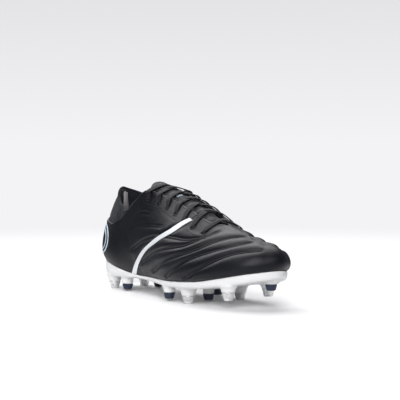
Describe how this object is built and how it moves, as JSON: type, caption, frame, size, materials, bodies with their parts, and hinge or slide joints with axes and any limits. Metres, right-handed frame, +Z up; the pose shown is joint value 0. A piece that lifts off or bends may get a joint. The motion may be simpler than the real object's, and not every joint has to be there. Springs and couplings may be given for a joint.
{
  "type": "soccer cleat",
  "caption": "Low-cut lace-up football boot for the right foot, with a quilted leather upper, a padded collar and tongue, and a moulded sole plate with screw-in metal studs.",
  "frame": {"origin": "under the middle of the boot's box, in the plane of the metal stud tips", "axes": "+X from heel to toe, +Y towards the inner (medial) side, +Z up"},
  "size_m": [0.2822, 0.0931, 0.1173],
  "materials": {
    "leather_black": "satin, fine grain",
    "leather_grey": "soft satin",
    "sole_white": "moulded TPU, semi-gloss",
    "sole_navy": "moulded TPU",
    "shank_nylon": "glass-filled nylon",
    "board": "fibre board",
    "sockliner_foam": "textile over foam",
    "foam": "open-cell foam",
    "trim_white": "flexible film, satin",
    "trim_pale_blue": "flexible film, satin",
    "tab_grey": "brushed textile",
    "lining_dark": "knitted mesh",
    "collar_textile": "woven textile",
    "lace_black": "flat woven",
    "aglet_plastic": "clear-coated",
    "brass_insert": "turned",
    "stud_metal": "turned, satin",
    "steel": "zinc plated"
  },
  "bodies": {
    "boot": {"soleplate": "sole_white", "thread_inserts": "brass_insert", "moulded_stud_tips": "sole_navy", "shank": "shank_nylon", "insole_board": "board", "sockliner": "sockliner_foam", "vamp": "leather_black", "lateral_quarter": "leather_black", "medial_quarter": "leather_black", "heel_counter": "board", "toe_puff": "board", "side_stripe": "trim_white", "heel_badge": "trim_pale_blue", "heel_tab": "tab_grey", "collar_foam": "foam", "collar_lining": "lining_dark", "forefoot_lining": "lining_dark", "lateral_eyestay": "leather_black", "medial_eyestay": "leather_black", "collar_shell": "collar_textile", "collar_binding": "collar_textile", "tongue_leather": "leather_grey", "tongue_foam": "foam", "tongue_lining": "lining_dark", "lace": "lace_black", "aglets": "aglet_plastic"},
    "tongue_flap": {"tongue_top": "leather_grey", "tongue_label": "trim_white"},
    "screw_1": {"spigot_1": "steel"},
    "tread_1": {"stud_1": "stud_metal"},
    "screw_2": {"spigot_2": "steel"},
    "tread_2": {"stud_2": "stud_metal"},
    "screw_3": {"spigot_3": "steel"},
    "tread_3": {"stud_3": "stud_metal"},
    "screw_4": {"spigot_4": "steel"},
    "tread_4": {"stud_4": "stud_metal"},
    "screw_5": {"spigot_5": "steel"},
    "tread_5": {"stud_5": "stud_metal"},
    "screw_6": {"spigot_6": "steel"},
    "tread_6": {"stud_6": "stud_metal"}
  },
  "joints": [
    {"name": "tongue_fold", "type": "hinge", "parent": "boot", "child": "tongue_flap", "pos_m": [-0.047, 0.0025, 0.1092], "axis": [0, 1, 0], "range_deg": [0, 15], "stiffness_Nm_per_rad": 0.02},
    {"name": "stud_1_travel", "type": "slide", "parent": "boot", "child": "screw_1", "axis": [0, 0, -1], "range_m": [0, 0.006]},
    {"name": "stud_1_turn", "type": "hinge", "parent": "screw_1", "child": "tread_1", "pos_m": [-0.115, -0.0155, 0], "axis": [0, 0, -1], "range_deg": [0, 2160]},
    {"name": "stud_2_travel", "type": "slide", "parent": "boot", "child": "screw_2", "axis": [0, 0, -1], "range_m": [0, 0.006]},
    {"name": "stud_2_turn", "type": "hinge", "parent": "screw_2", "child": "tread_2", "pos_m": [-0.116, 0.0235, 0], "axis": [0, 0, -1], "range_deg": [0, 2160]},
    {"name": "stud_3_travel", "type": "slide", "parent": "boot", "child": "screw_3", "axis": [0, 0, -1], "range_m": [0, 0.006]},
    {"name": "stud_3_turn", "type": "hinge", "parent": "screw_3", "child": "tread_3", "pos_m": [0.0435, -0.0315, 0], "axis": [0, 0, -1], "range_deg": [0, 2160]},
    {"name": "stud_4_travel", "type": "slide", "parent": "boot", "child": "screw_4", "axis": [0, 0, -1], "range_m": [0, 0.006]},
    {"name": "stud_4_turn", "type": "hinge", "parent": "screw_4", "child": "tread_4", "pos_m": [0.1, -0.0255, 0.008], "axis": [0, 0, -1], "range_deg": [0, 2160]},
    {"name": "stud_5_travel", "type": "slide", "parent": "boot", "child": "screw_5", "axis": [0, 0, -1], "range_m": [0, 0.006]},
    {"name": "stud_5_turn", "type": "hinge", "parent": "screw_5", "child": "tread_5", "pos_m": [0.0465, 0.0305, 0], "axis": [0, 0, -1], "range_deg": [0, 2160]},
    {"name": "stud_6_travel", "type": "slide", "parent": "boot", "child": "screw_6", "axis": [0, 0, -1], "range_m": [0, 0.006]},
    {"name": "stud_6_turn", "type": "hinge", "parent": "screw_6", "child": "tread_6", "pos_m": [0.095, 0.0275, 0.008], "axis": [0, 0, -1], "range_deg": [0, 2160]}
  ],
  "couplings": [
    {"joint": "stud_1_turn", "follows": "stud_1_travel", "rad_per_m": 6283.2},
    {"joint": "stud_2_turn", "follows": "stud_2_travel", "rad_per_m": 6283.2},
    {"joint": "stud_3_turn", "follows": "stud_3_travel", "rad_per_m": 6283.2},
    {"joint": "stud_4_turn", "follows": "stud_4_travel", "rad_per_m": 6283.2},
    {"joint": "stud_5_turn", "follows": "stud_5_travel", "rad_per_m": 6283.2},
    {"joint": "stud_6_turn", "follows": "stud_6_travel", "rad_per_m": 6283.2}
  ]
}
